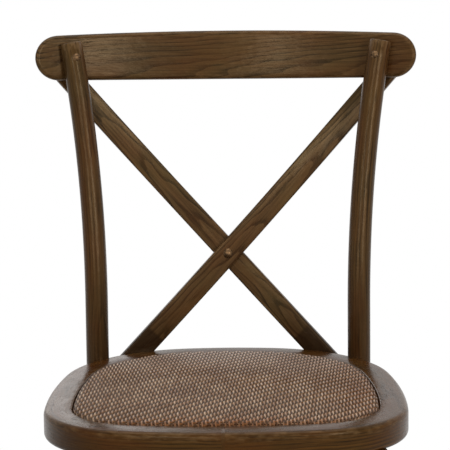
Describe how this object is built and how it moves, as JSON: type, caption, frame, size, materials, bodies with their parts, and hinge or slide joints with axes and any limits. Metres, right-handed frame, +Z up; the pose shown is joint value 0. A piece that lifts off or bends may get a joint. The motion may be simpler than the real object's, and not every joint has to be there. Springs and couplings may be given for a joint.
{
  "type": "cross back chair",
  "caption": "Dining chair in dark stained bentwood with a rounded seat ring, a crowned woven cane seat, crossed back slats and a curved crest rail.",
  "frame": {"origin": "on the floor, in the middle of the chair's outline", "axes": "+Z up, -Y towards the front of the seat, +X towards the right seen from the front"},
  "size_m": [0.503, 0.5208, 0.8771],
  "materials": {
    "frame_wood": "dark brown stain, satin lacquer",
    "slat_wood": "dark brown stain, satin lacquer",
    "board": "plain plywood",
    "cane": "woven rattan cane, natural to honey brown",
    "rivet": "domed head, browned",
    "steel": "blued",
    "glide": "nylon"
  },
  "bodies": {
    "root": {"seat_ring": "frame_wood", "seat_board": "board", "seat_cane": "cane", "post_left": "frame_wood", "post_right": "frame_wood", "crest_rail": "frame_wood", "cross_slat_front": "slat_wood", "cross_slat_rear": "slat_wood", "front_leg_left": "frame_wood", "front_leg_right": "frame_wood", "arch_front": "frame_wood", "arch_rear": "frame_wood", "arch_left": "frame_wood", "arch_right": "frame_wood", "crest_rivet_left": "rivet", "crest_rivet_right": "rivet", "cross_rivet": "rivet", "slat_screws_upper": "steel", "slat_screws_lower": "steel", "arch_screws_front": "steel", "arch_screws_rear": "steel", "arch_screws_left": "steel", "arch_screws_right": "steel", "post_bolt_left": "steel", "post_bolt_right": "steel", "board_screws": "steel", "glide_front_left": "glide", "glide_front_right": "glide", "glide_rear_left": "glide", "glide_rear_right": "glide"}
  },
  "joints": []
}
